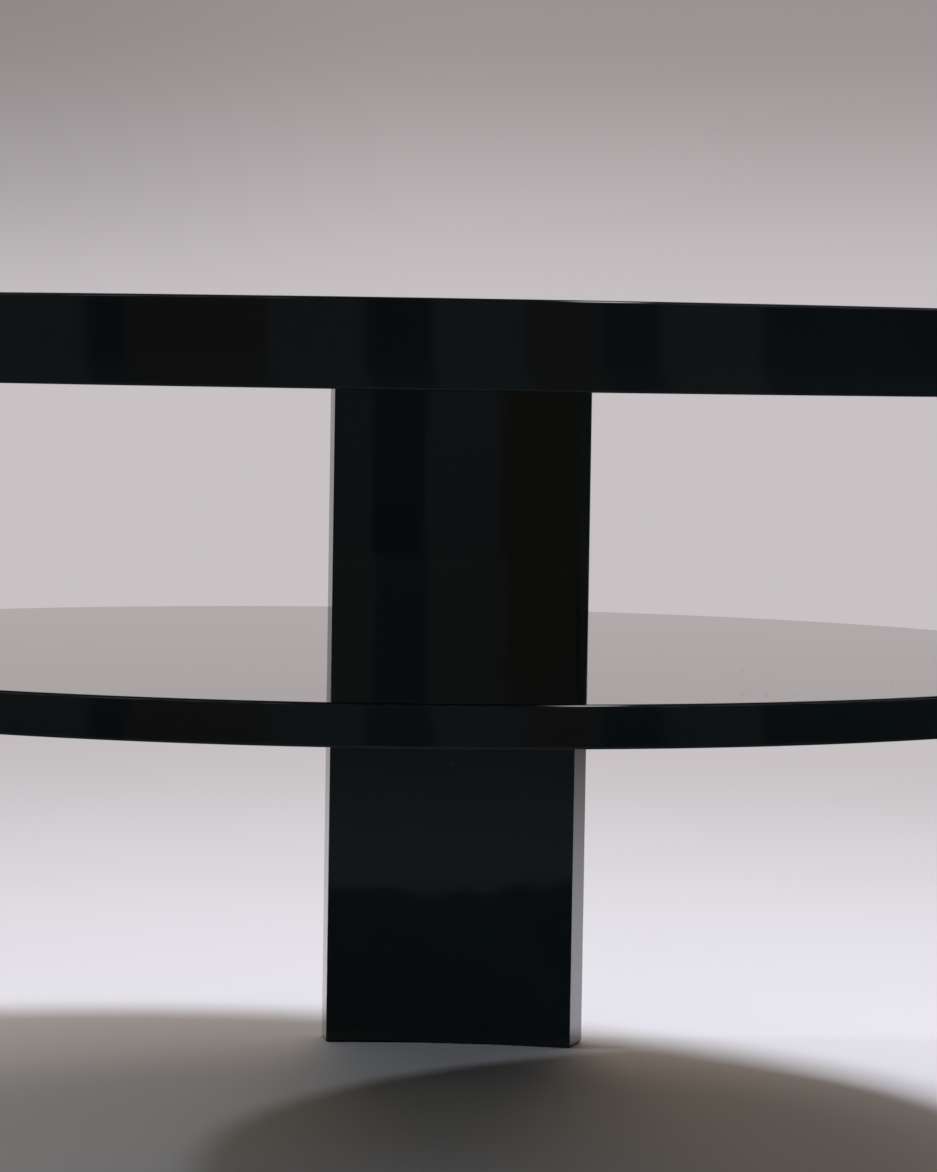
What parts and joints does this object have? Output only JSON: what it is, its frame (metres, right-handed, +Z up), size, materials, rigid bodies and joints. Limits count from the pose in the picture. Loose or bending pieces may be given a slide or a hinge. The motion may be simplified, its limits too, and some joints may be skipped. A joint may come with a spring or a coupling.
{
  "type": "round cocktail table",
  "caption": "Round tiered cocktail table in black gloss lacquer: a thick top over a thinner open shelf, carried on curved plank legs set flush with the rim.",
  "frame": {"origin": "on the floor, straight below the middle of the round top", "axes": "+Z up; +Y from the middle towards leg_1, the leg that stands on the far side in the picture; +X to the right of someone who looks along +Y"},
  "size_m": [0.7619, 0.762, 0.42],
  "materials": {
    "black_lacquer": "wooden board or bent lamination under black high-gloss lacquer",
    "raw_beech": "unfinished beech, glued in",
    "glide_nylon": "moulded nylon, worn smooth below",
    "nail_steel": "bright wire nail"
  },
  "bodies": {
    "root": {"leg_1": "black_lacquer", "leg_1_glide_nails": "nail_steel", "leg_1_glides": "glide_nylon", "leg_1_shelf_dowels": "raw_beech", "leg_1_top_tenons": "raw_beech", "leg_2": "black_lacquer", "leg_2_glide_nails": "nail_steel", "leg_2_glides": "glide_nylon", "leg_2_shelf_dowels": "raw_beech", "leg_2_top_tenons": "raw_beech", "leg_3": "black_lacquer", "leg_3_glide_nails": "nail_steel", "leg_3_glides": "glide_nylon", "leg_3_shelf_dowels": "raw_beech", "leg_3_top_tenons": "raw_beech", "shelf_board": "black_lacquer", "shelf_lipping_1": "black_lacquer", "shelf_lipping_2": "black_lacquer", "shelf_lipping_3": "black_lacquer", "top_board_dowels": "raw_beech", "top_lipping": "black_lacquer", "top_lower_board": "black_lacquer", "top_upper_board": "black_lacquer"}
  },
  "joints": []
}
